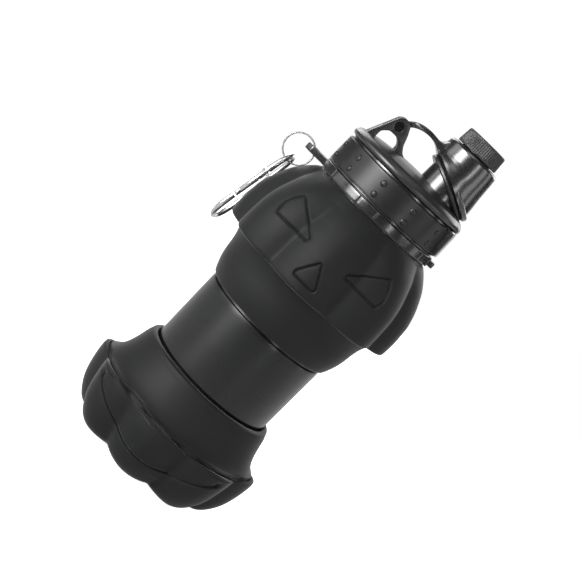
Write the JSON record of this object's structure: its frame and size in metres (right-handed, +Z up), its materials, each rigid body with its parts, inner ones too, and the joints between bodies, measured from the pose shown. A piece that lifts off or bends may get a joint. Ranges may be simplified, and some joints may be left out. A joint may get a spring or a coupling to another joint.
{
  "type": "folding water bottle",
  "caption": "Lobed silicone bottle that folds down, with a screw lid, flip-up spout cover, small screw cap, and a carabiner on a key ring.",
  "frame": {"origin": "centre of the flat base, on the axis of the bottle", "axes": "+Z up along the bottle's axis, -Y out of the carved face, carabiner towards -X, spout towards +X"},
  "size_m": [0.1062, 0.1003, 0.224],
  "materials": {
    "silicone": "matte",
    "tube_silicone": "satin",
    "gloss_plastic": "gloss",
    "satin_plastic": "satin",
    "seal_rubber": "matte",
    "chrome": "polished"
  },
  "bodies": {
    "bowl": {"lower_bowl": "silicone", "lower_fold": "silicone"},
    "tube": {"middle_tube": "tube_silicone"},
    "shell": {"upper_shell": "silicone", "upper_fold": "silicone", "neck_insert": "gloss_plastic", "carry_ring": "gloss_plastic"},
    "gasket": {"lid_gasket": "seal_rubber"},
    "lid": {"lid_collar": "gloss_plastic", "grip_band": "satin_plastic", "lid_top": "satin_plastic", "lanyard_lug": "satin_plastic", "hinge_pin": "satin_plastic"},
    "cover": {"flip_cover": "gloss_plastic", "spout_seal": "seal_rubber"},
    "liner": {"cap_liner": "seal_rubber"},
    "cap": {"screw_cap": "satin_plastic"},
    "key_ring": {"key_ring": "chrome"},
    "carabiner": {"carabiner_body": "chrome", "gate_pin": "chrome"},
    "gate": {"carabiner_gate": "chrome"}
  },
  "joints": [
    {"name": "tube_fold", "type": "slide", "parent": "bowl", "child": "tube", "axis": [0, 0, -1], "range_m": [0, 0.043], "deforming": ["lower_fold"]},
    {"name": "shell_fold", "type": "slide", "parent": "tube", "child": "shell", "axis": [0, 0, -1], "range_m": [0, 0.043], "deforming": ["upper_fold"]},
    {"name": "lid_lift", "type": "slide", "parent": "shell", "child": "gasket", "axis": [0, 0, 1], "range_m": [0, 0.0201]},
    {"name": "lid_turn", "type": "hinge", "parent": "gasket", "child": "lid", "pos_m": [0, 0, 0.176], "axis": [0, 0, 1], "range_deg": [0, 720]},
    {"name": "spout_flip", "type": "hinge", "parent": "lid", "child": "cover", "pos_m": [-0.02005, -0.00426, 0.2008], "axis": [0.2079, -0.9781, 0], "range_deg": [0, 135]},
    {"name": "cap_lift", "type": "slide", "parent": "cover", "child": "liner", "axis": [0, 0, 1], "range_m": [0, 0.0091]},
    {"name": "cap_turn", "type": "hinge", "parent": "liner", "child": "cap", "pos_m": [0.01536, 0.00326, 0.22], "axis": [0, 0, 1], "range_deg": [0, 540]},
    {"name": "key_ring_swing", "type": "hinge", "parent": "shell", "child": "key_ring", "pos_m": [-0.0429, 0, 0.1666], "axis": [0, 1, 0], "range_deg": [0, 40]},
    {"name": "carabiner_swing", "type": "hinge", "parent": "key_ring", "child": "carabiner", "pos_m": [-0.04697, 0, 0.15505], "axis": [0.1564, 0.9877, 0], "range_deg": [0, 75]},
    {"name": "gate_open", "type": "hinge", "parent": "carabiner", "child": "gate", "pos_m": [-0.04991, -0.00445, 0.14211], "axis": [0.9733, -0.1564, -0.1681], "range_deg": [0, 22], "stiffness_Nm_per_rad": 0.02, "springref_deg": -17.19}
  ],
  "couplings": [
    {"joint": "lid_lift", "follows": "lid_turn", "m_per_rad": 0.0015915},
    {"joint": "cap_lift", "follows": "cap_turn", "m_per_rad": 0.00095493}
  ]
}
